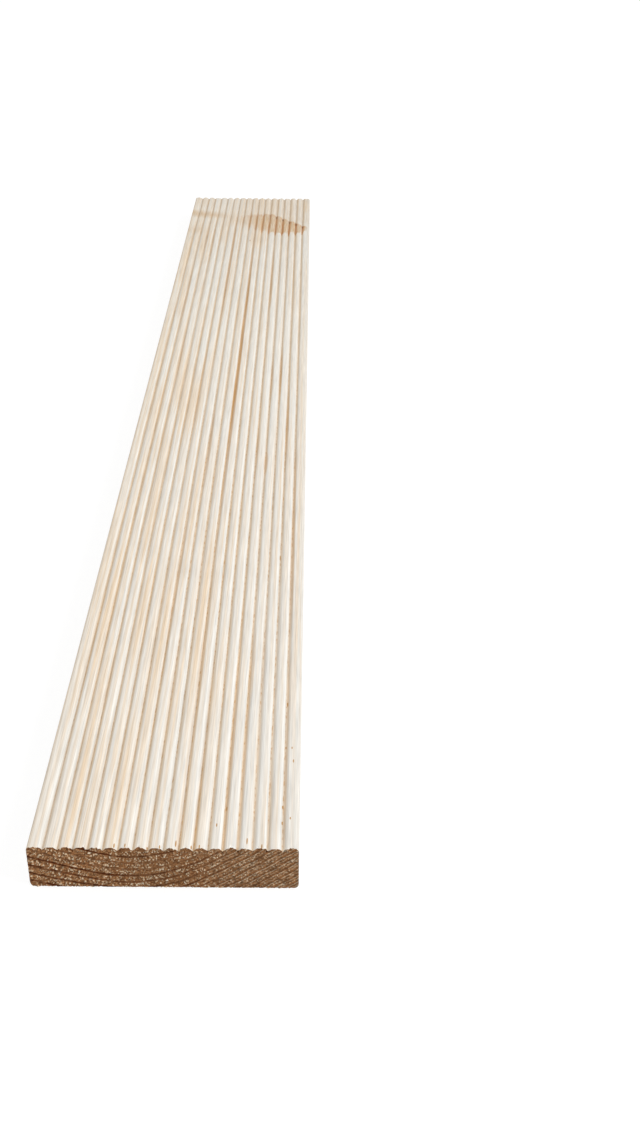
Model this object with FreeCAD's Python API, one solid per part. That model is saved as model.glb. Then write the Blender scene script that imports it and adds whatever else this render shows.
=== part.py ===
"""A softwood decking board: one moulded length of timber with a reeded top face.

The section is drawn once, in the XZ plane, and run along Y for the whole length of the board.
The origin is the middle of the underside. X is across the board, Y along it and Z up.
All sizes are millimetres and degrees.
"""

import FreeCAD, Part

import math
import os

from FreeCAD import Vector

# The board as it is sold
board_length = 1200.0
board_width = 145.0
board_thickness = 28.0

# The reeding: V grooves with rounded roots cut into the top face, and crowned ribs left between them
groove_pitch = 8.0
groove_depth = 1.8
groove_wall_angle = 40.0
groove_root_radius = 0.4
rib_crown_radius = 9.0
rib_shoulder_radius = 1.2
narrowest_edge_flat = 1.0

# The long edges, eased by the moulder so that they don't splinter
top_edge_radius = 2.0
bottom_edge_radius = 3.0

# Two ends of edges that are nearer than this are one point
same_point = 1e-6


def line(start, end):
    """A straight edge of the section."""
    return Part.LineSegment(start, end).toShape()


def on_circle(centre, radius, angle):
    """The point of a circle in the section's plane, at an angle in degrees from +X towards +Z."""
    turn = math.radians(angle)
    return centre + Vector(radius * math.cos(turn), 0, radius * math.sin(turn))


def arc(centre, radius, start_angle, end_angle):
    """A round edge of the section, from one angle to the other."""
    middle_angle = (start_angle + end_angle) / 2
    angles = (start_angle, middle_angle, end_angle)
    return Part.Arc(*(on_circle(centre, radius, angle) for angle in angles)).toShape()


def first_point(edge):
    return edge.valueAt(edge.FirstParameter)


def last_point(edge):
    return edge.valueAt(edge.LastParameter)


def joined(edges):
    """The closed run of edges, with a straight edge wherever one ends short of the next."""
    run = []
    for edge, following in zip(edges, edges[1:] + edges[:1]):
        run.append(edge)
        start = last_point(edge)
        end = first_point(following)
        if not start.isEqual(end, same_point):
            run.append(line(start, end))
    return run


def crown_half_angle():
    """How far a rib's crown turns from its crest to where a shoulder takes over.

    The shoulder and the groove's root both run smoothly into the groove's straight wall, so the crown
    ends where a wall of that slope reaches the groove's depth.
    """
    wall = math.radians(groove_wall_angle)
    radii = rib_shoulder_radius + groove_root_radius
    run = groove_pitch / 2 - radii * math.sin(wall)
    shoulder_drop = rib_shoulder_radius * math.cos(wall)
    root_rise = groove_root_radius * (1 - math.cos(wall))
    rise = rib_crown_radius - groove_depth - shoulder_drop + root_rise
    reach = rise * math.cos(wall) + run * math.sin(wall)
    turn = math.acos(reach / (rib_crown_radius - rib_shoulder_radius))
    return groove_wall_angle - math.degrees(turn)


def groove_middles():
    """Where the grooves lie across the board: as many as leave half a rib and a flat along each edge."""
    edge_rib = top_edge_radius + narrowest_edge_flat + groove_pitch / 2
    gaps = int((board_width - 2 * edge_rib) // groove_pitch)
    return [(index - gaps / 2) * groove_pitch for index in range(gaps + 1)]


def crown_centre(crest):
    return Vector(crest, 0, board_thickness - rib_crown_radius)


def right_shoulder(crest):
    """The round of a rib from the groove on its right up to its crown."""
    crown_end = 90 - crown_half_angle()
    centre = on_circle(crown_centre(crest), rib_crown_radius - rib_shoulder_radius, crown_end)
    return arc(centre, rib_shoulder_radius, 90 - groove_wall_angle, crown_end)


def left_shoulder(crest):
    """The round of a rib from its crown down to the groove on its left."""
    crown_end = 90 + crown_half_angle()
    centre = on_circle(crown_centre(crest), rib_crown_radius - rib_shoulder_radius, crown_end)
    return arc(centre, rib_shoulder_radius, crown_end, 90 + groove_wall_angle)


def crown(crest, right_turn, left_turn):
    """The top of a rib, from its right to its left, as far as each turn goes from the crest."""
    return arc(crown_centre(crest), rib_crown_radius, 90 - right_turn, 90 + left_turn)


def root(middle):
    """The rounded bottom of a groove, from its right wall to its left wall."""
    centre = Vector(middle, 0, board_thickness - groove_depth + groove_root_radius)
    return arc(centre, groove_root_radius, 270 + groove_wall_angle, 270 - groove_wall_angle)


def reeding():
    """The top of the section from right to left: half a rib, grooves with ribs between, half a rib."""
    half_pitch = groove_pitch / 2
    turn = crown_half_angle()
    middles = groove_middles()
    right_crest = middles[-1] + half_pitch
    left_crest = middles[0] - half_pitch
    edges = [crown(right_crest, 0, turn), left_shoulder(right_crest)]
    for middle in reversed(middles[1:]):
        crest = middle - half_pitch
        edges += [root(middle), right_shoulder(crest), crown(crest, turn, turn), left_shoulder(crest)]
    edges += [root(middles[0]), right_shoulder(left_crest), crown(left_crest, turn, 0)]
    return edges


def edge_rounding(side, radius, height, start_angle, end_angle):
    """The eased corner of the section on one side, which is +1 on the right and -1 on the left."""
    centre = Vector(side * (board_width / 2 - radius), 0, height)
    return arc(centre, radius, start_angle, end_angle)


def board_section():
    """The outline of the board, from the underside's right corner up, across the top and down again."""
    top_height = board_thickness - top_edge_radius
    edges = [
        edge_rounding(+1, bottom_edge_radius, bottom_edge_radius, -90, 0),
        edge_rounding(+1, top_edge_radius, top_height, 0, 90),
    ]
    edges += reeding()
    edges += [
        edge_rounding(-1, top_edge_radius, top_height, 90, 180),
        edge_rounding(-1, bottom_edge_radius, bottom_edge_radius, 180, 270),
    ]
    return Part.Face(Part.Wire(joined(edges)))


def decking_board():
    """The whole board, with its length centred on the origin."""
    section = board_section()
    section.translate(Vector(0, -board_length / 2, 0))
    return section.extrude(Vector(0, board_length, 0))


def main():
    os.makedirs("parts", exist_ok=True)
    board = decking_board()
    box = board.BoundBox
    print("valid", board.isValid(), "grooves", len(groove_middles()), "crown half angle", crown_half_angle())
    print("box", box.XLength, box.YLength, box.ZLength, "lowest", box.ZMin)
    print("volume in litres", board.Volume / 1e6)
    board.exportStep("parts/decking_board.step")


main()
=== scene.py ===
"""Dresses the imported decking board: moulded pine with its growth rings, a knot and sawn ends, on a stage.

The file is laid out as an add-on and is run as a script. Blender's own lengths are metres. The section,
the growth rings and the saw's relief are worked out in millimetres, in the board's own directions:
u across the board from its left edge, v along it from its near end and d down from its top. In the
materials, numbers that a place or a distance is compared with are millimetres, and the rest are shares.
"""

import math

import bpy
import numpy as np
from bpy.props import FloatProperty, FloatVectorProperty, PointerProperty
from mathutils import Matrix, Vector, noise


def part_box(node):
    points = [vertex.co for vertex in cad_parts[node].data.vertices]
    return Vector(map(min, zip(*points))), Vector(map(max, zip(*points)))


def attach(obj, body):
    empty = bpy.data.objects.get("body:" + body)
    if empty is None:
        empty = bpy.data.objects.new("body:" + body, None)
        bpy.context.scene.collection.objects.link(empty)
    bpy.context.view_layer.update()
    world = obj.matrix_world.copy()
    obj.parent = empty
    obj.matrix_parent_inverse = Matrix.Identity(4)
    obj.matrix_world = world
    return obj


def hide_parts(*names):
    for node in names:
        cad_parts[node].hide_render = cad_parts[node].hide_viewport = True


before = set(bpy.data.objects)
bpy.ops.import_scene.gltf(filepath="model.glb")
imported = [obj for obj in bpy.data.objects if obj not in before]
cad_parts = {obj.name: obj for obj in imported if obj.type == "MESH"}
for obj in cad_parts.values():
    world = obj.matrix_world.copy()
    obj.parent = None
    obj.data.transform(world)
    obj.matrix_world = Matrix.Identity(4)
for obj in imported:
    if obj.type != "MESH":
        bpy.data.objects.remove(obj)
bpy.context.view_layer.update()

bl_info = {
    "name": "Decking board",
    "version": (1, 0, 0),
    "blender": (4, 5, 0),
    "location": "3D View > Sidebar > Decking",
    "description": "Dresses a packed softwood decking board and lights it on a pale floor",
    "category": "Object",
}

MM = 0.001
BOARD_NODE = "decking_board"
BODY = "root"

# The board as it is packed, in millimetres
BOARD_LOW, BOARD_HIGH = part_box(BOARD_NODE)
WIDTH, LENGTH, THICKNESS = ((BOARD_HIGH - BOARD_LOW) / MM)[:]

# The photograph's frame, in pixels, and the sensor that stands for it in the camera, in millimetres
FRAME_HEIGHT = 1137
SENSOR_HEIGHT = 36.0

WHITE = (1, 1, 1)

# One growth ring, by its depth below the top: two straight flanks that meet in a round bottom, in millimetres
RING_MIDDLE = 68.25
RING_ROUND = 39.1
RING_TILT = 0.2065
RING_FLANK = 0.633
RING_DEPTH = 18.8
# How the rings shift to the side and deepen along the board, and how far apart they lie in depth
RING_DRIFT = -0.011
RING_FALL = 0.0072
RING_SPACING = 4.5
# Left of this place across, in millimetres, the rings lie further apart: how gently that starts, and its rate
WIDE_RINGS = 45.0
WIDE_ROUND = 10.0
WIDE_RATE = 0.0125

# One ring's tongue of peach grain on the top: where its tip lies across and along it, in millimetres
TONGUE_ACROSS = 44.0
TONGUE_ALONG = 488.0

# The knot: where its near and far edges lie along the board and where they bend across it, in millimetres
KNOT_NEAR = 1056.0
KNOT_NEAR_LEFT = 95.0
KNOT_NEAR_RIGHT = 133.0
KNOT_FAR = 1135.0
KNOT_FAR_MIDDLE = 97.5

# Peach patches on the top: place across and along, half width and half length in millimetres, strength
PEACH_PATCHES = (
    (7, 960, 6, 120, 1.0),
    (13, 860, 5, 100, 1.2),
    (12, 1085, 10, 40, 0.7),
    (26, 1000, 9, 80, 1.0),
    (14, 1185, 14, 35, 0.7),
    (46, 1060, 8, 60, 0.6),
    (86, 1045, 14, 60, 1.0),
    (82, 1180, 10, 45, 0.8),
    (140, 1165, 5, 35, 0.7),
    (5, 640, 5, 220, 0.7),
    (24, 690, 5, 80, 0.3),
    (16, 560, 5, 130, 0.8),
    (26, 480, 12, 45, 0.6),
    (14, 400, 5, 110, 1.0),
    (15, 240, 5, 150, 1.0),
    (28, 370, 5, 100, 1.0),
    (37, 230, 6, 90, 1.0),
    (51, 180, 6, 180, 1.1),
    (58, 350, 5, 180, 0.7),
    (20, 70, 5, 120, 1.0),
    (31, 40, 5, 90, 0.6),
    (44, 50, 5, 100, 0.7),
    (65, 440, 5, 100, 0.6),
    (68, 600, 4, 90, 0.35),
    (79, 220, 7, 170, 1.1),
    (95, 120, 5, 160, 0.4),
    (141, 450, 3, 600, 0.6),
)

# Resin streaks: groove from the left, place along, half width and half length in millimetres, strength. The
# faint rows by the near end are partly resin and partly painted shade in the grooves there
GROOVE_STREAKS = (
    (2, 850, 2.0, 90, 0.4),
    (3, 1040, 2.0, 70, 0.4),
    (3, 690, 1.6, 110, 0.3),
    (4, 1010, 2.0, 80, 0.4),
    (6, 610, 1.8, 120, 0.3),
    (7, 950, 2.0, 190, 0.8),
    (7, 260, 1.5, 160, 0.35),
    (8, 480, 2.0, 100, 0.5),
    (9, 1110, 2.4, 45, 0.8),
    (10, 1105, 2.4, 50, 0.9),
    (10, 980, 2.0, 130, 0.6),
    (10, 690, 2.4, 420, 1.0),
    (10, 120, 1.8, 200, 0.25),
    (11, 1100, 2.4, 50, 0.9),
    (11, 50, 1.6, 140, 0.4),
    (13, 900, 1.8, 130, 0.45),
    (13, 470, 1.6, 60, 0.4),
    (13, 100, 1.4, 170, 0.3),
    (14, 625, 1.7, 65, 0.7),
    (14, 456, 2.2, 26, 0.6),
    (14, 100, 1.3, 150, 0.2),
    (15, 640, 1.7, 85, 0.8),
    (16, 530, 1.7, 100, 0.6),
    (17, 330, 1.8, 190, 0.6),
    (17, 120, 1.2, 160, 0.25),
)

# Short resin flecks, in millimetres: half their width, and for each its place across and along and its length
FLECK_HALF_WIDTH = 0.5
RESIN_FLECKS = (
    (46.6, 2.5, 5),
    (52.4, 2.5, 4),
    (64.2, 2, 3),
    (70.9, 2, 4),
    (79.2, 5, 7),
    (87.6, 2.5, 4),
    (92, 2, 4),
    (100.2, 19, 4),
    (104.8, 34, 5),
    (117.2, 6.5, 7),
    (125.2, 2.5, 5),
    (135.6, 35, 4),
    (135.6, 22, 4),
    (140, 25, 3),
    (140, 86, 3),
    (141, 74, 4),
    (136.6, 130, 6),
    (136.4, 88, 3),
    (128, 305, 10),
    (76, 1027, 10),
)

# Torn tufts on the sawn ends: their size along a growth ring and from ring to ring, in millimetres
TUFT_WIDTH = 1.05
TUFT_HEIGHT = 1.5
# How far apart the two ends lie in the noise that tears them, so that they differ
END_SEED = 9.0

# Loops of vertices round the board: places from each sawn edge, in millimetres, and how many lie between
END_STATIONS = np.array((0, 0.5, 1.1, 2.0, 3.5, 6.0, 10.0, 18.0, 35.0))
MIDDLE_STATIONS = 22
# Rows of faces over a sawn end, from the underside to the top
END_ROWS = 62
# Steps over half a rib, from its crest down to the middle of a groove, and round a long edge
CROWN_STEPS = 4
SHOULDER_STEPS = 3
WALL_STEPS = 2
ROOT_STEPS = 2
EDGE_STEPS = 6
# Places across that are nearer than this, in millimetres, are one place
SAME_PLACE = 1e-6

# How far the tearing and the chips of a sawn edge reach along the long faces, in millimetres
TORN_REACH = 8.0
CHIP_REACH = 3.0
# How quickly the chips fade down a sawn end, in millimetres
CHIP_FADE = 0.8
# How far the top sinks for each millimetre that it is chipped back
CHIP_DROP = 0.35
# Faces that meet at more than this many degrees show a sharp edge
SHARP_ANGLE = 50

# Where the faces lie in the square that is baked: a strip for each long face, and the two ends over them
MAP_MARGIN = 0.005
MAP_STRIPS = ((0.005, 0.575), (0.585, 0.635), (0.645, 0.795), (0.805, 0.855))
MAP_END_WIDTH = 0.49
MAP_END_LOW = 0.87
MAP_END_HEIGHT = 0.12


def paint(red, green, blue):
    """A colour as a screen shows it, 0 to 255, as the linear values that shaders use."""
    parts = [value / 255 for value in (red, green, blue)]
    return tuple(p / 12.92 if p <= 0.04045 else ((p + 0.055) / 1.055) ** 2.4 for p in parts)


def length(name, description, millimetres):
    """A property for a real size, which Blender keeps in metres."""
    return FloatProperty(name=name, description=description, default=millimetres * MM, min=0, unit="LENGTH")


def position(name, description, millimetres):
    """A property for a place, on either side of the board's middle."""
    return FloatProperty(name=name, description=description, default=millimetres * MM, unit="LENGTH")


def angle(name, description, degrees):
    """A property for a turn, which Blender keeps in radians."""
    return FloatProperty(name=name, description=description, default=math.radians(degrees), unit="ROTATION")


def amount(name, description, value):
    """A property for a level of light, where 1 is white."""
    return FloatProperty(
        name=name, description=description, default=value, min=0, soft_max=1, subtype="FACTOR"
    )


def colour(name, description, red, green, blue):
    """A property for a colour, which is written as a screen shows it."""
    default = paint(red, green, blue)
    return FloatVectorProperty(
        name=name, description=description, default=default, min=0, max=1, size=3, subtype="COLOR"
    )


class BoardShape(bpy.types.PropertyGroup):
    """Sizes of the moulded section and of the saw's work on the ends."""

    groove_pitch: length("Groove pitch", "From the middle of one groove to the next", 8.0)
    groove_depth: length("Groove depth", "From a rib's crest to a groove's root", 1.8)
    wall_angle: angle("Groove wall angle", "Slope of a groove's straight walls", 40.0)
    root_radius: length("Groove root radius", "Round at the bottom of a groove", 0.4)
    crown_radius: length("Rib crown radius", "Round over the top of a rib", 9.0)
    shoulder_radius: length("Rib shoulder radius", "Round from a rib's crown into a groove", 1.2)
    edge_flat: length("Narrowest edge flat", "Least flat between the outer crest and the eased edge", 1.0)
    top_edge: length("Top edge radius", "Easing of the long edges beside the ribs", 2.0)
    bottom_edge: length("Bottom edge radius", "Easing of the long edges of the underside", 3.0)
    saw_depth: length("Saw roughness", "How deep the saw tore the wood of the ends", 0.8)
    chip_depth: length("Edge chips", "How far chips run back from the sawn edges", 2.0)


class WoodLook(bpy.types.PropertyGroup):
    """Colours of the moulded faces and of the sawn ends."""

    earlywood: colour("Earlywood", "Pale wood between the rings", 242, 240, 234)
    latewood: colour("Latewood", "Peach wood where a ring ends", 234, 200, 155)
    cream: colour("Cream", "The yellower wood towards the far end", 242, 237, 198)
    streak: colour("Resin streak", "Brown streaks of resin in the grooves", 206, 157, 91)
    # This colour also paints the thin broken lines at the groove bottoms, which are partly painted shadow
    fleck: colour("Resin fleck", "Orange flecks and thin lines of resin", 186, 132, 52)
    # The groove colour is partly the grooves' own browner wood and partly painted shade
    groove: colour("Groove", "Burnished wood at the bottom of the grooves", 217, 184, 139)
    knot: colour("Knot", "Wood of the knot at the far end", 214, 180, 134)
    knot_core: colour("Knot core", "Orange wood of the knot in the grooves", 197, 127, 62)
    knot_speck: colour("Knot specks", "Dark bark specks along the knot", 92, 66, 46)
    sawn: colour("Sawn end", "Rough wood of the ends", 157, 113, 75)
    # This colour also darkens the pits of the ends as painted shade
    sawn_latewood: colour("Sawn latewood", "Dark ring lines and pits of the ends", 84, 40, 12)
    torn_fibre: colour("Torn fibre", "Pale fibres that the saw tore up", 222, 202, 173)


class StudioSetup(bpy.types.PropertyGroup):
    """Camera, light and floor."""

    camera_across: position("Camera across", "To the right of the board's middle", 76.8)
    camera_along: position("Camera along", "From the board's middle towards its far end", -1147.07)
    camera_height: length("Camera height", "Above the board's underside", 533.97)
    camera_pitch: angle("Camera pitch", "How far the camera looks down", 31.196)
    camera_turn: angle("Camera turn", "Turn about the upright, to the left", -0.503)
    camera_roll: angle("Camera roll", "Turn about the line of sight", 0.796)
    focal_pixels: FloatProperty(
        name="Focal length",
        description="In pixels of the photograph's frame",
        default=1375.8,
        min=0,
        subtype="PIXEL",
    )
    key_level: amount("Key level", "Light that the key lamp lays on a surface facing it", 0.395)
    key_aim: FloatVectorProperty(
        name="Key aim",
        description="The point that the key lamp faces",
        default=(0, -50 * MM, 30 * MM),
        size=3,
        subtype="TRANSLATION",
        unit="LENGTH",
    )
    key_direction: FloatVectorProperty(
        name="Key direction",
        description="From that point towards the key lamp",
        default=(0.70, -0.35, 0.62),
        size=3,
        subtype="DIRECTION",
    )
    key_distance: length("Key distance", "From that point to the key lamp", 3000.0)
    key_size: length("Key size", "Side of the key lamp's square face", 1200.0)
    fill_level: amount("Fill level", "Light from all round", 0.70)
    floor: colour("Floor", "Pale floor, as it throws light back on the board", 236, 235, 233)
    floor_grey: amount("Floor grey", "Share of the light and shadow on the floor that the camera sees", 0.3)
    floor_glow: amount("Floor glow", "Light that the camera sees on the floor besides", 0.788)
    floor_reach: length("Floor reach", "From the middle of the floor to its sides", 8000.0)
    floor_gap: length("Floor gap", "How far the floor lies below the board", 0.2)


class Wire:
    """A node's output that takes part in Python expressions; each operator adds a Math node."""

    def __init__(self, graph, socket):
        self.graph = graph
        self.socket = socket

    def __add__(self, other):
        return self.graph.maths("ADD", self, other)

    def __sub__(self, other):
        return self.graph.maths("SUBTRACT", self, other)

    def __rsub__(self, other):
        return self.graph.maths("SUBTRACT", other, self)

    def __mul__(self, other):
        return self.graph.maths("MULTIPLY", self, other)

    def __truediv__(self, other):
        return self.graph.maths("DIVIDE", self, other)

    def __rtruediv__(self, other):
        return self.graph.maths("DIVIDE", other, self)

    __radd__ = __add__
    __rmul__ = __mul__


class Graph:
    """A node tree that is written as expressions."""

    def __init__(self, tree):
        self.tree = tree
        tree.nodes.clear()

    def node(self, kind, settings=None, sockets=None, output=0):
        """Adds a node, sets its settings and then its sockets, and gives the output that is asked for."""
        made = self.tree.nodes.new(kind)
        for name, value in (settings or {}).items():
            setattr(made, name, value)
        for name, value in (sockets or {}).items():
            self.feed(made.inputs[name], value)
        return Wire(self, made.outputs[output]) if made.outputs else None

    def feed(self, socket, value):
        """Links a wire to a socket, or sets the socket to a number or a colour."""
        if isinstance(value, Wire):
            self.tree.links.new(value.socket, socket)
        elif socket.type == "RGBA" and len(value) == 3:
            socket.default_value = (*value, 1)
        else:
            socket.default_value = value

    def maths(self, operation, *values):
        return self.node("ShaderNodeMath", {"operation": operation}, dict(enumerate(values)))

    def mix(self, factor, first, second):
        """The first colour where the factor is 0 and the second where it is 1."""
        settings = {"data_type": "RGBA", "clamp_factor": True}
        return self.node("ShaderNodeMix", settings, {0: factor, 6: first, 7: second}, 2)

    def dim(self, tone, level):
        """A colour made lighter or darker by a level that is 1 where it stays."""
        return self.node("ShaderNodeVectorMath", {"operation": "SCALE"}, {0: tone, "Scale": level})

    def noise(self, x, y, z, detail=2.0, roughness=0.5):
        """Cloudy values about 0.5, with one cloud to each unit."""
        where = self.node("ShaderNodeCombineXYZ", None, {0: x, 1: y, 2: z})
        sockets = {"Vector": where, "Scale": 1.0, "Detail": detail, "Roughness": roughness}
        return self.node("ShaderNodeTexNoise", {"noise_dimensions": "3D"}, sockets, "Fac")

    def board_place(self):
        """The place on the board in millimetres: across, along and down."""
        where = self.node("ShaderNodeTexCoord", output="Object")
        parts = self.node("ShaderNodeSeparateXYZ", None, {0: where}).socket.node.outputs
        x, y, z = (Wire(self, part) for part in parts)
        return x / MM + WIDTH / 2, y / MM + LENGTH / 2, THICKNESS - z / MM


# The next functions work on wires in a shader. Sine, root, fraction, square and rise also work on arrays
def sine(x):
    return x.graph.maths("SINE", x) if isinstance(x, Wire) else np.sin(x)


def root(x):
    return x.graph.maths("SQRT", x) if isinstance(x, Wire) else np.sqrt(x)


def fraction(x):
    return x.graph.maths("FRACT", x) if isinstance(x, Wire) else x - np.floor(x)


def size(x):
    return x.graph.maths("ABSOLUTE", x)


def larger(x, least):
    return x.graph.maths("MAXIMUM", x, least)


def square(x):
    return x * x


def rise(x, low, high):
    """0 below low and 1 above high, with a smooth step between them."""
    if isinstance(x, Wire):
        settings = {"interpolation_type": "SMOOTHSTEP"}
        return x.graph.node("ShaderNodeMapRange", settings, {0: x, 1: low, 2: high})
    part = np.clip((x - low) / (high - low), 0, 1)
    return part * part * (3 - 2 * part)


def hump(x, middle, half):
    """1 at the middle, falling smoothly to 0 at half on either side."""
    return 1 - rise(size(x - middle), 0, half)


def oval(u, v, across, along, wide, long):
    """1 at the middle of an oval on the top, falling smoothly to 0 at its half width and half length."""
    return 1 - rise(square((u - across) / wide) + square((v - along) / long), 0, 1)


def ring_number(u, v, d):
    """How many growth rings a point of the board lies outside the one whose shape is given above."""
    across = u - (v * RING_DRIFT + RING_MIDDLE)
    bend = root(square(across) + RING_ROUND**2) - RING_ROUND
    ring = v * RING_FALL + RING_DEPTH - RING_TILT * across - RING_FLANK * bend
    # Slow and quick waves, so that no ring looks ruled
    waves = 0.35 * sine(v / 61 + u / 17 + 1.3) + 0.2 * sine(v / 23.7 - u / 5.3 + d / 3)
    wide = root(square(WIDE_RINGS - u) + WIDE_ROUND**2) + (WIDE_RINGS - u)
    return (d + waves - ring) / (wide * WIDE_RATE + RING_SPACING)


def ring_slope(u, v):
    """How steeply the growth rings go down towards the right at a place across an end."""
    across = u - (v * RING_DRIFT + RING_MIDDLE)
    return -RING_TILT - RING_FLANK * across / np.sqrt(across**2 + RING_ROUND**2)


class Section:
    """The board's moulded section: the height of its top and of its underside at a place across it."""

    def __init__(self, shape):
        self.pitch = shape.groove_pitch / MM
        self.depth = shape.groove_depth / MM
        self.wall = shape.wall_angle
        self.root = shape.root_radius / MM
        self.crown = shape.crown_radius / MM
        self.shoulder = shape.shoulder_radius / MM
        self.top_edge = shape.top_edge / MM
        self.bottom_edge = shape.bottom_edge / MM
        edge_rib = self.top_edge + shape.edge_flat / MM + self.pitch / 2
        self.gaps = int((WIDTH - 2 * edge_rib) // self.pitch)
        self.outer_crest = (self.gaps + 1) * self.pitch / 2
        self.crown_turn = self.wall - math.acos(self.wall_reach() / (self.crown - self.shoulder))

    def wall_reach(self):
        """From the crown's centre square to the groove's wall, less the shoulder's radius."""
        run = self.pitch / 2 - (self.shoulder + self.root) * math.sin(self.wall)
        up = self.crown - self.depth - self.shoulder * math.cos(self.wall)
        up += self.root * (1 - math.cos(self.wall))
        return up * math.cos(self.wall) + run * math.sin(self.wall)

    def shoulder_centre(self):
        """Where a shoulder's round is centred: to the side of the rib's crest, and its height above it."""
        reach = self.crown - self.shoulder
        return reach * math.sin(self.crown_turn), reach * math.cos(self.crown_turn) - self.crown

    def from_crest(self, x):
        """How far places lie from the nearest crest; the flats beside the outer ribs count as crests."""
        inside = np.clip(x, -self.outer_crest, self.outer_crest) + self.outer_crest
        within = inside % self.pitch
        return np.minimum(within, self.pitch - within)

    def reeding(self, x):
        """Height of the top below the ribs' crests, which is 0 or less."""
        along = self.from_crest(x)
        from_root = self.pitch / 2 - along
        centre_x, centre_z = self.shoulder_centre()
        foot = self.root * math.sin(self.wall)
        crown = np.sqrt(self.crown**2 - along**2) - self.crown
        round_off = np.sqrt(np.maximum(self.shoulder**2 - (along - centre_x) ** 2, 0)) + centre_z
        wall = (from_root - foot) * math.tan(self.wall) + self.root * (1 - math.cos(self.wall)) - self.depth
        bottom = self.root - np.sqrt(np.maximum(self.root**2 - from_root**2, 0)) - self.depth
        crown_end = self.crown * math.sin(self.crown_turn)
        shoulder_end = centre_x + self.shoulder * math.sin(self.wall)
        cases = (along <= crown_end, along <= shoulder_end, from_root >= foot)
        return np.select(cases, (crown, round_off, wall), bottom)

    def eased(self, x, radius):
        """How far an eased edge has turned away from a flat face at a place across."""
        inward = np.clip(radius - (WIDTH / 2 - np.abs(x)), 0, radius)
        return radius - np.sqrt(radius**2 - inward**2)

    def top(self, x):
        return THICKNESS + self.reeding(x) - self.eased(x, self.top_edge)

    def underside(self, x):
        return self.eased(x, self.bottom_edge)

    def half_rib(self):
        """Places from a rib's crest to the middle of a groove, closer together where the section bends."""
        crown = np.linspace(0, self.crown * math.sin(self.crown_turn), CROWN_STEPS, endpoint=False)
        turns = np.linspace(self.crown_turn, self.wall, SHOULDER_STEPS, endpoint=False)
        shoulder = self.shoulder_centre()[0] + self.shoulder * np.sin(turns)
        wall_start = self.shoulder_centre()[0] + self.shoulder * math.sin(self.wall)
        wall_end = self.pitch / 2 - self.root * math.sin(self.wall)
        wall = np.linspace(wall_start, wall_end, WALL_STEPS, endpoint=False)
        turns = np.linspace(self.wall, 0, ROOT_STEPS, endpoint=False)
        bottom = self.pitch / 2 - self.root * np.sin(turns)
        return np.concatenate((crown, shoulder, wall, bottom))

    def columns(self):
        """Places across the board, from left to right, at which the section is drawn."""
        half = self.half_rib()
        rib = np.concatenate((-half[:0:-1], half, [self.pitch / 2]))
        ribs = [crest * self.pitch + rib for crest in np.arange(self.gaps + 2) - (self.gaps + 1) / 2]
        middle = np.concatenate(ribs)
        middle = middle[np.abs(middle) <= self.outer_crest + SAME_PLACE]
        edge_steps = np.sin(np.linspace(0, math.pi / 2, EDGE_STEPS + 1)) - 1
        rounding = WIDTH / 2 + self.bottom_edge * edge_steps
        flat = np.linspace(self.outer_crest, rounding[0], 3)[1:-1]
        edge = np.concatenate((flat, rounding))
        return np.concatenate((-edge[::-1], middle, edge))


def clouds(*directions):
    """Cloudy values from -1 to 1 at many places."""
    places = np.stack(np.broadcast_arrays(*directions), -1)
    flat = [noise.noise(place) for place in places.reshape(-1, 3)]
    return np.array(flat).reshape(places.shape[:-1])


def tufts(across, along, seed):
    """Torn tufts of wood: up to 1 on a tuft and 0 in the gaps between them, at many places."""
    places = np.stack(np.broadcast_arrays(across, along, seed), -1)
    gaps = []
    # Each tuft has a height of its own, drawn from where its middle lies
    heights = []
    for place in places.reshape(-1, 3):
        distances, middles = noise.voronoi(place)
        gaps.append(distances[1] - distances[0])
        heights.append(noise.cell(middles[0] * 7.3))
    tall = rise(np.array(gaps), 0.0, 0.3) * (0.72 + 0.28 * np.array(heights))
    return tall.reshape(places.shape[:-1])


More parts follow.
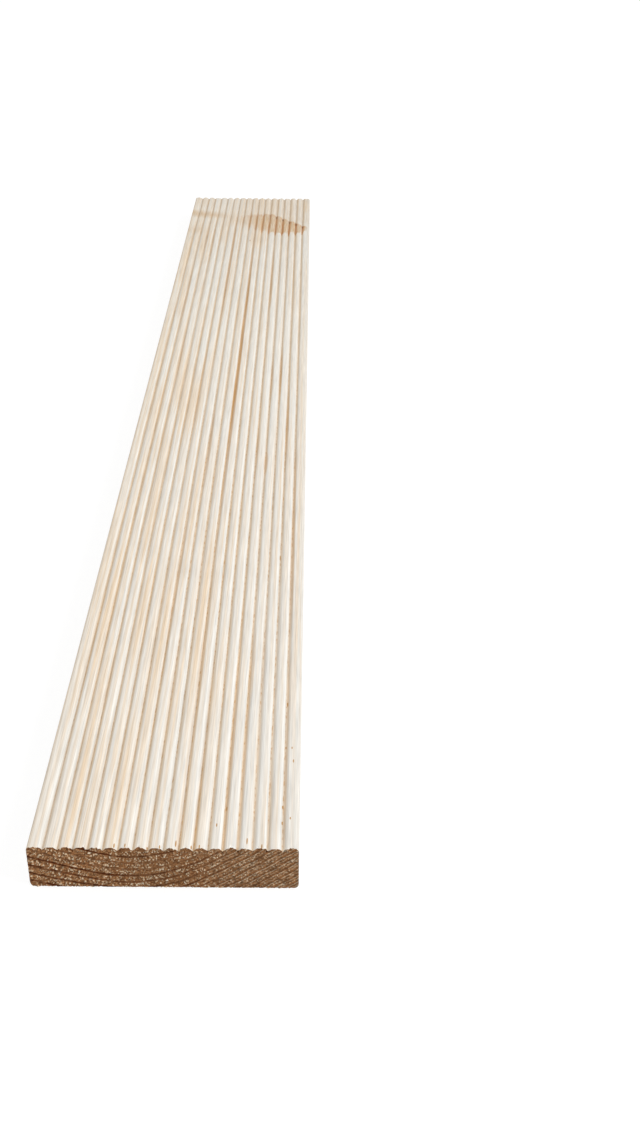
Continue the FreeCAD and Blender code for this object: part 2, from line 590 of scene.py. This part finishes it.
class BoardMesh:
    """The board's skin as one closed mesh: a tube of stations along it and a grid over each sawn end."""

    def __init__(self, shape):
        section = Section(shape)
        self.saw_depth = shape.saw_depth / MM
        self.chip_depth = shape.chip_depth / MM
        self.x = section.columns()
        self.top = section.top(self.x)
        self.underside = section.underside(self.x)
        self.stations = self.along()
        self.vertices = []
        self.faces = []
        self.maps = []
        self.kinds = []

    def along(self):
        """Where the loops of vertices lie along the board."""
        first = END_STATIONS[-1]
        last = LENGTH - END_STATIONS[-1]
        middle = np.linspace(first, last, MIDDLE_STATIONS + 2)[1:-1]
        return np.concatenate((END_STATIONS, middle, LENGTH - END_STATIONS[::-1]))

    def outline(self):
        """The section as a loop of places: over the top, down the right, back under and up the left."""
        inner = np.linspace(0, 1, END_ROWS + 1)[1:-1]
        side = self.underside[0] + (self.top[0] - self.underside[0]) * inner
        right = np.full(len(side), WIDTH / 2)
        x = np.concatenate((self.x, right, self.x[::-1], -right))
        z = np.concatenate((self.top, side[::-1], self.underside[::-1], side))
        return x, z

    def torn(self, x, z, end):
        """How far the saw's rough surface lies inside the end's plane, in millimetres."""
        u = x + WIDTH / 2
        d = THICKNESS - z
        v = end * LENGTH
        seed = end * END_SEED
        rings = ring_number(u, v, d)
        phase = fraction(rings)
        late = rise(phase, 0.56, 0.74) * (1 - rise(phase, 0.94, 1.0))
        # Tufts lie along the rings, and late wood and the denser wood on the right tear less
        along = u + ring_slope(u, v) * (d - THICKNESS / 2)
        warp = 0.35 * clouds(u / 1.7, d / 1.7, seed + 4.5)
        tall = tufts(along / TUFT_WIDTH + warp, rings * (RING_SPACING / TUFT_HEIGHT) + warp, seed + 0.5)
        fine = clouds(u / 0.6, d / 0.6, seed + 6.5)
        rough = (1 - 0.75 * late) * (1 - 0.2 * rise(u, 85, 115))
        depth = 0.5 + (0.5 - tall + 0.25 * fine) * rough
        return self.saw_depth * np.clip(depth, 0.02, 1.4)

    def chips(self, x, end):
        """How far the top edge is chipped back at an end."""
        u = x + WIDTH / 2
        seed = end * END_SEED
        chip = clouds(u / 2.6, seed + 6.5, 0.5) + 0.8 * clouds(u / 0.9, seed + 8.5, 0.5)
        return self.chip_depth * np.clip(chip - 0.05, 0, 1)

    def build(self):
        """The whole mesh, with its faces marked by finish and laid out for baking."""
        self.add_tube()
        self.add_end(0)
        self.add_end(1)
        mesh = bpy.data.meshes.new(BOARD_NODE + "_timber")
        mesh.from_pydata(np.concatenate(self.vertices) * MM, [], np.concatenate(self.faces))
        kinds = np.concatenate(self.kinds)
        mesh.polygons.foreach_set("material_index", kinds)
        mesh.polygons.foreach_set("use_smooth", np.ones(len(kinds), bool))
        layer = mesh.uv_layers.new(name="OFBake")
        layer.uv.foreach_set("vector", np.concatenate(self.maps).astype(np.float32).ravel())
        mesh.set_sharp_from_angle(angle=math.radians(SHARP_ANGLE))
        mesh.validate()
        return mesh

    def add_tube(self):
        """The long faces, with the tearing and the chips of each sawn edge fading along them."""
        x, z = self.outline()
        count = len(x)
        stations = len(self.stations)
        near, far = (self.torn(x, z, end) for end in (0, 1))
        on_top = np.arange(count) < len(self.x)
        chip_near, chip_far = (np.where(on_top, self.chips(x, end), 0) for end in (0, 1))
        places = np.empty((stations, count, 3))
        for row, v in enumerate(self.stations):
            from_far = LENGTH - v
            near_fade = 1 - rise(v, 0.0, TORN_REACH)
            far_fade = 1 - rise(from_far, 0.0, TORN_REACH)
            inset = (near + chip_near) * near_fade - (far + chip_far) * far_fade
            chipped = chip_near * (1 - rise(v, 0, CHIP_REACH))
            chipped = chipped + chip_far * (1 - rise(from_far, 0, CHIP_REACH))
            places[row, :, 0] = x
            places[row, :, 1] = v - LENGTH / 2 + inset
            places[row, :, 2] = z - CHIP_DROP * chipped
        self.vertices.append(places.reshape(-1, 3))
        station, column = np.meshgrid(np.arange(stations - 1), np.arange(count), indexing="ij")
        beside = (column + 1) % count
        corners = (
            station * count + column,
            station * count + beside,
            (station + 1) * count + beside,
            (station + 1) * count + column,
        )
        self.faces.append(np.stack(corners, -1).reshape(-1, 4))
        self.kinds.append(np.zeros(station.size, np.int32))
        self.maps.append(self.tube_map(station, column))

    def tube_map(self, station, column):
        """Lays the tube out in strips: the top, the right side, the underside and the left side."""
        columns = len(self.x)
        rows = END_ROWS - 1
        bounds = (
            (0, columns - 1),
            (columns - 1, columns + rows),
            (columns + rows, 2 * columns + rows - 1),
            (2 * columns + rows - 1, 2 * columns + 2 * rows),
        )
        x, z = self.outline()
        steps = np.hypot(np.diff(np.append(x, x[0])), np.diff(np.append(z, z[0])))
        around = np.concatenate(([0], np.cumsum(steps)))
        start = np.empty(column.shape)
        end = np.empty(column.shape)
        for (first, last), (low, high) in zip(bounds, MAP_STRIPS):
            part = (column >= first) & (column < last)
            scale = (high - low) / (around[last] - around[first])
            start[part] = low + (around[column[part]] - around[first]) * scale
            end[part] = low + (around[column[part] + 1] - around[first]) * scale
        along = MAP_MARGIN + (1 - 2 * MAP_MARGIN) * self.stations / LENGTH
        near = along[station]
        far = along[station + 1]
        corners = ((near, start), (near, end), (far, end), (far, start))
        return np.stack([np.stack(corner, -1) for corner in corners], 2).reshape(-1, 2)

    def add_end(self, end):
        """The grid over one sawn end: 0 is the near end and 1 the far one."""
        columns = len(self.x)
        rows = np.linspace(0, 1, END_ROWS + 1)
        x = np.repeat(self.x[:, None], END_ROWS + 1, 1)
        z = self.underside[:, None] + (self.top - self.underside)[:, None] * rows[None, :]
        chip = self.chips(self.x, end)[:, None] * np.exp(-(self.top[:, None] - z) / CHIP_FADE)
        inset = self.torn(x, z, end) + chip
        y = LENGTH / 2 - inset if end else inset - LENGTH / 2
        index = self.edge_indices(end)
        inner = index < 0
        first = sum(len(part) for part in self.vertices)
        index[inner] = first + np.arange(np.count_nonzero(inner))
        self.vertices.append(np.stack((x, y, z - CHIP_DROP * chip), -1)[inner])
        corners = [index[:-1, :-1], index[1:, :-1], index[1:, 1:], index[:-1, 1:]]
        across = (self.x + WIDTH / 2) / WIDTH
        left = MAP_MARGIN + end / 2
        map_x = left + MAP_END_WIDTH * np.repeat(across[:, None], END_ROWS + 1, 1)
        map_y = MAP_END_LOW + MAP_END_HEIGHT * z / THICKNESS
        layout = np.stack((map_x, map_y), -1)
        places = [layout[:-1, :-1], layout[1:, :-1], layout[1:, 1:], layout[:-1, 1:]]
        if end:
            corners.reverse()
            places.reverse()
        self.faces.append(np.stack(corners, -1).reshape(-1, 4))
        self.maps.append(np.stack(places, 2).reshape(-1, 2))
        self.kinds.append(np.ones((columns - 1) * END_ROWS, np.int32))

    def edge_indices(self, end):
        """The tube's vertices round an end's grid, with -1 inside it."""
        columns = len(self.x)
        rows = END_ROWS - 1
        index = np.full((columns, END_ROWS + 1), -1)
        base = (len(self.stations) - 1) * (2 * columns + 2 * rows) if end else 0
        index[:, END_ROWS] = base + np.arange(columns)
        index[-1, 1:-1] = base + columns + np.arange(rows)[::-1]
        index[:, 0] = base + columns + rows + np.arange(columns)[::-1]
        index[0, 1:-1] = base + 2 * columns + rows + np.arange(rows)
        return index


def principled(graph, base, roughness, height, relief, gloss):
    """The surface of a piece of wood, with its height as a bump that is so many millimetres deep."""
    normal = graph.node("ShaderNodeBump", None, {"Strength": 1.0, "Distance": relief * MM, "Height": height})
    sockets = {"Base Color": base, "Roughness": roughness, "Normal": normal, "Specular IOR Level": gloss}
    shader = graph.node("ShaderNodeBsdfPrincipled", None, sockets)
    graph.node("ShaderNodeOutputMaterial", None, {"Surface": shader})


def new_material(name):
    """An empty material and the graph that its nodes are written in."""
    material = bpy.data.materials.new(name)
    material.use_nodes = True
    return material, Graph(material.node_tree)


def knot_edges(u, v, d):
    """How far along the board a point lies past the knot's near edge, and short of its far edge."""
    near = KNOT_NEAR - 3.5 * d + 0.7 * larger(KNOT_NEAR_LEFT - u, 0) + 1.2 * larger(u - KNOT_NEAR_RIGHT, 0)
    far = KNOT_FAR - 1.15 * larger(u - KNOT_FAR_MIDDLE, 0) - 0.25 * larger(KNOT_FAR_MIDDLE - u, 0)
    return v - near, far - v


def grain_tongue(u, v, d):
    """1 inside the edge of the tongue of peach grain, which opens towards the far end, and 0 elsewhere."""
    left = larger(TONGUE_ACROSS - u, 0)
    right = larger(u - TONGUE_ACROSS, 0)
    edge = TONGUE_ALONG + 0.28 * square(left) + 0.0055 * square(square(right)) + 35 * d
    inside = v - edge
    return rise(inside, -20, 45) * (1 - rise(inside, 90, 190)) * (1 - 0.7 * rise(left, 12, 24))


class LongFaces:
    """The finish of the long faces: masks over them, and steps that each lay more over the wood's colour."""

    def __init__(self, graph, shape, look):
        section = Section(shape)
        u, v, d = graph.board_place()
        self.graph = graph
        self.look = look
        self.place = (u, v, d)
        self.pitch = section.pitch
        self.first_groove = WIDTH / 2 - section.gaps / 2 * section.pitch
        # Where a point lies on the reeding: to the right of the nearest crest and of the nearest groove
        ribs = (u - self.first_groove) / self.pitch
        self.from_crest = fraction(ribs) * self.pitch - self.pitch / 2
        self.from_groove = fraction(ribs + 0.5) * self.pitch - self.pitch / 2
        self.on_top = 1 - rise(d, 2.2, 2.6)
        self.reeded = self.on_top * rise(WIDTH / 2 - size(u - WIDTH / 2), 4, 5)
        self.edge = rise(size(u - WIDTH / 2), WIDTH / 2 - 3, WIDTH / 2 - 0.5) * (1 - rise(d, 2, 5))
        # The near part of the right half, and its outer ribs, where the grooves' browner tint and painted
        # shade are set otherwise than on the rest
        near = 1 - rise(v, 250, 450)
        self.near_right = rise(u, 45, 60) * near
        self.outer_right = rise(u, 110, 122) * near
        # The grain, from broad patches down to single fibres, and the late wood of each ring
        self.patches = graph.noise(u / 22, v / 200, d / 22, detail=1.0)
        self.streaks = graph.noise(u / 1.2, v / 160, d / 1.2, roughness=0.6)
        self.stripes = rise(self.streaks, 0.36, 0.64)
        self.fibres = graph.noise(u * 1.5, v / 90, d * 1.5, detail=3.0, roughness=0.65)
        phase = fraction(ring_number(u, v, d))
        self.late = rise(phase, 0.4, 0.92) * (1 - rise(phase, 0.95, 1.0))
        self.off_root = self.from_groove_band()
        self.groove = self.groove_band()

    def from_groove_band(self):
        """How far a point lies to the right of the middle of a groove's dark band, which leans from side to
        side.
        """
        u, v = self.place[:2]
        lean = (0.4 + 0.35 * hump(u, 80, 30) - 0.7 * rise(u, 92, 104)) * (1 - rise(v, 100, 350))
        lean = lean - 0.32 * rise(v, 150, 350) * (1 - rise(u, 85, 110))
        return self.from_groove - lean - rise(v, 1060, 1150)

    def groove_band(self):
        """1 in the dark band along a groove's bottom, fading out at the foot of its left wall and up its
        right wall, which faces away from the key lamp.
        """
        u, v = self.place[:2]
        right_wall = 1.9 + 1.0 * rise(u, 85, 110) * rise(v, 600, 900) + 0.7 * self.near_right
        return rise(self.off_root, -1.1, -0.2) * (1 - rise(self.off_root, 0.0, right_wall)) * self.reeded

    def peach(self):
        """Where the wood is peach: late in each ring, in one ring's tongue and in patches of grain."""
        u, v, d = self.place
        within_tongue = hump(u, 38, 20) * rise(v, 640, 760)
        rings = self.late * (0.15 + 0.5 * rise(self.patches, 0.4, 0.65)) * (1 - 0.8 * within_tongue)
        tongue = grain_tongue(u, v + (self.streaks - 0.5) * 110, d) * self.on_top * 0.72
        wavy = u + (self.patches - 0.5) * 8
        cloud = 0
        for across, along, wide, long, strength in PEACH_PATCHES:
            cloud = larger(oval(wavy, v, across, along, wide, long) * strength, cloud)
        cloud = cloud * self.on_top * (0.5 + 0.5 * hump(self.from_crest, 0.5, 2.6))
        return larger(larger(rings, tongue), cloud)

    def bare_wood(self):
        """Pale wood that turns towards peach with the grain, and a little towards cream at the far end."""
        u, v = self.place[:2]
        tint = self.peach() * (0.3 + 0.45 * self.stripes) + rise(v, 150, 900) * (0.02 + 0.2 * self.stripes)
        # The left edge, the near ribs, the left of the far end and the stripes of the left half
        tint = tint + hump(u, 2.5, 4) * self.on_top * 0.11
        tint = tint + hump(self.from_crest, -0.8, 2.2) * (1 - rise(v, 400, 700)) * self.on_top * 0.08
        tint = tint + hump(v, 1080, 110) * (1 - rise(u, 60, 110)) * self.on_top * 0.1
        tint = tint + (1 - rise(u, 30, 75)) * self.on_top * self.stripes * 0.13
        # The ribs of the far end, beyond the knot
        far_crest = 0.14 * hump(self.from_crest, 0.8, 2.5) * rise(u, 45, 60) * (1 - rise(u, 98, 108))
        tint = tint + rise(v, 1120, 1160) * self.on_top * (0.05 + far_crest)
        # Tints that lie over each other add up to less
        tint = tint * (1 - 0.4 * tint)
        base = self.graph.mix(tint, self.look.earlywood, self.look.latewood)
        return self.graph.mix(rise(v, 250, 850) * 0.04, base, self.look.cream)

    def groove_shade_and_tints(self, base):
        """Browner grooves, long edges and near crests. The grooves' band is partly their own browner wood and
        partly painted shade.
        """
        u, v, d = self.place
        # The grooves' band: partly browner wood and partly painted shade on their bottoms and on the walls
        # that face away from the key lamp
        groove_tint_and_shade = self.groove * (0.42 + 0.46 * self.streaks)
        groove_tint_and_shade = groove_tint_and_shade * (1 - 0.1 * rise(v, 500, 1000) - 0.22 * self.outer_right)
        base = self.graph.mix(groove_tint_and_shade + self.edge * (0.4 - u * 0.0022), base, self.look.groove)
        crest = hump(self.from_crest, 0.6, 1.7) * (1 - rise(d, 0.3, 0.5)) * (1 - rise(v, 300, 650))
        crest = crest * (1 - rise(u, 60, 110) * (0.5 - 0.3 * rise(v, 100, 300)))
        return self.graph.mix(crest * (0.15 + 0.4 * self.streaks), base, self.look.latewood)

    def resinous(self, base):
        """Resin: thin broken lines at the groove bottoms, partly resin and partly painted shadow, long
        streaks in the grooves, and short flecks.
        """
        u, v, d = self.place
        # The thin broken lines along the groove bottoms: partly resin and partly painted shadow in the
        # grooves
        line = hump(self.off_root, -0.2, 0.7) * self.reeded * (1 - 0.7 * rise(v, 400, 800))
        dashes = rise(self.graph.noise(u / 0.9, v / 4, d), 0.5, 0.64) * (0.4 + 0.6 * rise(u, 30, 80))
        base = self.graph.mix(line * (0.1 + 0.6 * dashes), base, self.look.fleck)
        resin = 0
        for number, along, wide, long, strength in GROOVE_STREAKS:
            middle = self.first_groove + (number - 1) * self.pitch + 0.5
            resin = larger(oval(u, v, middle, along, wide, long) * strength, resin)
        base = self.graph.mix(resin * self.reeded * (0.4 + 0.6 * self.stripes), base, self.look.streak)
        drops = 0
        for across, along, long in RESIN_FLECKS:
            drops = larger(oval(u, v, across, along, FLECK_HALF_WIDTH, long / 2), drops)
        return self.graph.mix(rise(drops, 0.25, 0.7) * self.on_top * 0.88, base, self.look.fleck)

    def knotted(self, base):
        """The knot at the far end, with orange grooves, bark specks and the stains beside it."""
        u, v, d = self.place
        upper = 1 - rise(d, 3, 9)
        ragged = (self.graph.noise(u / 5, v / 16, d) - 0.5) * 14
        past, short = knot_edges(u, v + ragged, d)
        spread = rise(u, 40, 112) * (1 - rise(u, 139, 144)) * upper
        knot = rise(past, -1, 7 + 0.5 * larger(105 - u, 0)) * rise(short, -2, 5) * spread
        rim = hump(short, 5, 8) * knot
        strands = rise(self.graph.noise(u / 0.8, v / 25, d / 0.8, roughness=0.6), 0.35, 0.65)
        base = self.graph.mix(knot * (0.4 + 0.6 * strands), base, self.look.knot)
        core = knot * self.groove * (0.5 + 0.5 * strands) + rim * 0.4 * strands
        base = self.graph.mix(core, base, self.look.knot_core)
        across_left = hump(v + 0.25 * u, 1134, 20) + 0.4 * hump(v, 1066, 22) * (1 - rise(u, 12, 30))
        left_stains = (1 - rise(u, 12, 70)) * across_left * 0.85
        beyond = rise(v, 1120, 1150) * 0.2 * rise(u, 50, 70) + hump(v, 1112, 40) * 0.3 * rise(u, 20, 60)
        stains = larger(left_stains, beyond) * upper * (0.5 + 0.5 * strands)
        base = self.graph.mix(stains, base, self.look.knot)
        deep = hump(self.from_groove, 0.3, 1.1) * self.reeded
        return self.graph.mix(rim * deep * rise(u, 95, 100) * 0.9, base, self.look.knot_speck)

    def fibres_and_painted_light(self, base):
        """Fine light and dark fibres, painted shade in the grooves and at the far end, painted highlights on
        the ribs' right shoulders, and a darker right edge.
        """
        u, v, d = self.place
        # Painted shade in the grooves, on the walls that face away from the key lamp
        groove_shade_level = 0.07 - 0.04 * self.near_right + 0.035 * self.outer_right
        shade = hump(self.from_groove, -0.3, 1.8) * self.reeded * groove_shade_level
        # Painted shade that darkens the top towards the far end
        shade = shade + rise(v, 650, 1200) * self.on_top * 0.045
        # A painted highlight on the right shoulder of each rib, which faces the key lamp
        gleam = hump(self.from_crest, 2.1, 1.3) * self.reeded * rise(v, 200, 500) * 0.02
        flecks = self.graph.noise(u * 1.7, v / 30, d * 1.7, roughness=0.6)
        fine = (self.fibres * 0.75 + flecks * 1.25 - 1) * (0.56 - 0.12 * rise(v, 100, 600))
        return self.graph.dim(base, 1 + fine + gleam - shade - self.edge * u * 0.0006)


def moulded_pine(shape, look):
    """The long faces: pale pine with peach rings, browner grooves that carry painted shade, resin and the
    knot.
    """
    material, graph = new_material("moulded_pine")
    faces = LongFaces(graph, shape, look)
    base = faces.bare_wood()
    for step in (faces.groove_shade_and_tints, faces.resinous, faces.knotted, faces.fibres_and_painted_light):
        base = step(base)
    roughness = 0.58 + 0.2 * faces.fibres
    height = faces.fibres + 0.5 * faces.late
    principled(graph, base, roughness, height, relief=0.06, gloss=0.3)
    return material


def sawn_pine(look):
    """The sawn ends: brown rough wood with dark ring lines, pits darkened as painted shade, pale torn fibres
    and pale ring edges.
    """
    material, graph = new_material("sawn_pine")
    u, v, d = graph.board_place()
    rings = ring_number(u, v, d)
    phase = fraction(rings)
    grit = graph.noise(u / 0.5, d / 0.5, v / 30, detail=1.0)
    patches = graph.noise(u / 8, d / 4, v / 50, detail=1.0)
    # The denser wood on the right, where the ring lines are fainter and the rings have pale edges
    dense = rise(u, 85, 115)
    # Every third ring, and each one of the lower rings, has a heavier line
    weight = 0.7 + 0.3 * sine((rings - phase + 1) * (2 * math.pi / 3) + math.pi / 2)
    weight = larger(weight, rise(rings - phase, -0.8, -0.2) * 0.9)
    broken = 0.45 + 0.55 * rise(graph.noise(u / 6, d / 2, v / 30), 0.3, 0.55)
    late = rise(phase, 0.6, 0.76) * (1 - rise(phase, 0.93, 1.0)) * weight * broken
    late = late * (1 - 0.2 * rise(u, 40, 60) - 0.35 * dense)
    base = graph.mix(late, look.sawn, look.sawn_latewood)
    # What lies deep inside the end's plane is darkened as painted shade, less so along the top, and what
    # reaches it is pale
    inset = LENGTH / 2 - size(v - LENGTH / 2) + (grit - 0.5) * 0.3
    pits = rise(inset, 0.5, 0.95) * (0.25 + 0.6 * rise(d, 0.6, 2.4))
    base = graph.mix(pits, base, look.sawn_latewood)
    torn = (1 - rise(inset, 0.12, 0.42)) * (1 - late) * (0.6 + 0.6 * patches)
    ring_edge = larger(hump(phase, 0.05, 0.13), hump(phase, 0.5, 0.08) * 0.6)
    ring_edge = ring_edge * dense * rise(patches, 0.25, 0.5)
    base = graph.mix(larger(torn * (1 - 0.15 * dense), ring_edge * 0.75), base, look.torn_fibre)
    tips = (1 - rise(inset, 0.0, 0.14)) * (1 - late) * rise(patches, 0.5, 0.62)
    base = graph.mix(tips * 0.6, base, look.earlywood)
    # Crumbs of light and dark wood, with more contrast on the left and on the right than in the middle
    crumbs = rise(graph.noise(u / 1.3, d / 0.9, v / 30 + 3.4, detail=1.0), 0.38, 0.62) - 0.5
    rough = 0.38 + 0.27 * (1 - rise(u, 35, 55)) + 0.17 * dense
    level = 0.62 + 0.4 * patches + 0.4 * grit + rough * crumbs
    level = level - 0.16 * dense - 0.12 * hump(u, 70, 35)
    base = graph.dim(base, level)
    principled(graph, base, 0.8 + 0.1 * grit, grit, relief=0.15, gloss=0.08)
    return material


class DECKING_OT_board(bpy.types.Operator):
    """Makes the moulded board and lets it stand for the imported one"""

    bl_idname = "decking.board"
    bl_label = "Moulded board"

    def execute(self, context):
        shape = context.scene.decking_shape
        look = context.scene.decking_look
        mesh = BoardMesh(shape).build()
        mesh.materials.append(moulded_pine(shape, look))
        mesh.materials.append(sawn_pine(look))
        board = bpy.data.objects.new("timber_board", mesh)
        context.scene.collection.objects.link(board)
        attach(board, BODY)
        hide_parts(BOARD_NODE)
        return {"FINISHED"}


def seen_directly(graph):
    """1 for what the camera sees, also by way of gloss or glass, and 0 for light that bounces."""
    path = graph.node("ShaderNodeLightPath").socket.node.outputs
    seen = Wire(graph, path["Is Camera Ray"])
    for name in ("Is Glossy Ray", "Is Transmission Ray"):
        seen = larger(seen, Wire(graph, path[name]))
    return seen


def floor_material(studio):
    """A pale floor that the camera sees as white, with the board's shadow kept light on it."""
    material, graph = new_material("studio_floor")
    grey = (studio.floor_grey, studio.floor_grey, studio.floor_grey)
    bounce = graph.node("ShaderNodeBsdfDiffuse", None, {"Color": studio.floor})
    shaded = graph.node("ShaderNodeBsdfDiffuse", None, {"Color": grey})
    glow = graph.node("ShaderNodeEmission", None, {"Color": WHITE, "Strength": studio.floor_glow})
    shown = graph.node("ShaderNodeAddShader", None, {0: shaded, 1: glow})
    surface = graph.node("ShaderNodeMixShader", None, {0: seen_directly(graph), 1: bounce, 2: shown})
    graph.node("ShaderNodeOutputMaterial", None, {"Surface": surface})
    return material


class DECKING_OT_stage(bpy.types.Operator):
    """Sets up the floor, the key lamp, the sky and the camera"""

    bl_idname = "decking.stage"
    bl_label = "Stage"

    def execute(self, context):
        studio = context.scene.decking_studio
        self.add_floor(context.scene, studio)
        self.add_key(context.scene, studio)
        self.light_sky(context.scene, studio)
        self.add_camera(context.scene, studio)
        context.scene.view_settings.view_transform = "Standard"
        return {"FINISHED"}

    def add_floor(self, scene, studio):
        reach = studio.floor_reach
        sides = ((-reach, -reach), (reach, -reach), (reach, reach), (-reach, reach))
        corners = [(x, y, -studio.floor_gap) for x, y in sides]
        mesh = bpy.data.meshes.new("studio_floor")
        mesh.from_pydata(corners, [], [(0, 1, 2, 3)])
        mesh.materials.append(floor_material(studio))
        floor = bpy.data.objects.new("studio_floor", mesh)
        scene.collection.objects.link(floor)

    def add_key(self, scene, studio):
        direction = Vector(studio.key_direction).normalized()
        lamp = bpy.data.lights.new("key_softbox", "AREA")
        lamp.shape = "SQUARE"
        lamp.size = studio.key_size
        lamp.energy = studio.key_level * math.pi * math.pi * studio.key_distance**2
        key = bpy.data.objects.new("key_softbox", lamp)
        key.location = Vector(studio.key_aim) + direction * studio.key_distance
        key.rotation_euler = direction.to_track_quat("Z", "Y").to_euler()
        scene.collection.objects.link(key)

    def light_sky(self, scene, studio):
        world = bpy.data.worlds.new("studio_sky")
        world.use_nodes = True
        graph = Graph(world.node_tree)
        fill = graph.node("ShaderNodeBackground", None, {"Color": WHITE, "Strength": studio.fill_level})
        white = graph.node("ShaderNodeBackground", None, {"Color": WHITE, "Strength": 1.0})
        sky = graph.node("ShaderNodeMixShader", None, {0: seen_directly(graph), 1: fill, 2: white})
        graph.node("ShaderNodeOutputWorld", None, {"Surface": sky})
        scene.world = world

    def add_camera(self, scene, studio):
        lens = bpy.data.cameras.new("camera")
        lens.sensor_fit = "VERTICAL"
        lens.sensor_height = SENSOR_HEIGHT
        lens.lens = SENSOR_HEIGHT * studio.focal_pixels / FRAME_HEIGHT
        lens.clip_start = 10 * MM
        camera = bpy.data.objects.new("camera", lens)
        stand = Matrix.Translation((studio.camera_across, studio.camera_along, studio.camera_height))
        turn = Matrix.Rotation(studio.camera_turn, 4, "Z")
        tilt = Matrix.Rotation(math.pi / 2 - studio.camera_pitch, 4, "X")
        roll = Matrix.Rotation(studio.camera_roll, 4, "Z")
        camera.matrix_world = stand @ turn @ tilt @ roll
        scene.collection.objects.link(camera)
        scene.camera = camera


class DECKING_PT_panel(bpy.types.Panel):
    """Lists the steps that dress the board, and what can be set for them"""

    bl_idname = "DECKING_PT_panel"
    bl_label = "Decking board"
    bl_space_type = "VIEW_3D"
    bl_region_type = "UI"
    bl_category = "Decking"

    def draw(self, context):
        steps = (
            (DECKING_OT_board, (context.scene.decking_shape, context.scene.decking_look)),
            (DECKING_OT_stage, (context.scene.decking_studio,)),
        )
        for operator, groups in steps:
            self.layout.operator(operator.bl_idname)
            for group in groups:
                for name in group.__annotations__:
                    self.layout.prop(group, name)


CLASSES = (BoardShape, WoodLook, StudioSetup, DECKING_OT_board, DECKING_OT_stage, DECKING_PT_panel)


def register():
    for each in CLASSES:
        bpy.utils.register_class(each)
    bpy.types.Scene.decking_shape = PointerProperty(type=BoardShape)
    bpy.types.Scene.decking_look = PointerProperty(type=WoodLook)
    bpy.types.Scene.decking_studio = PointerProperty(type=StudioSetup)


def unregister():
    del bpy.types.Scene.decking_studio
    del bpy.types.Scene.decking_look
    del bpy.types.Scene.decking_shape
    for each in reversed(CLASSES):
        bpy.utils.unregister_class(each)


def main():
    register()
    bpy.ops.decking.board()
    bpy.ops.decking.stage()


if __name__ == "__main__":
    main()
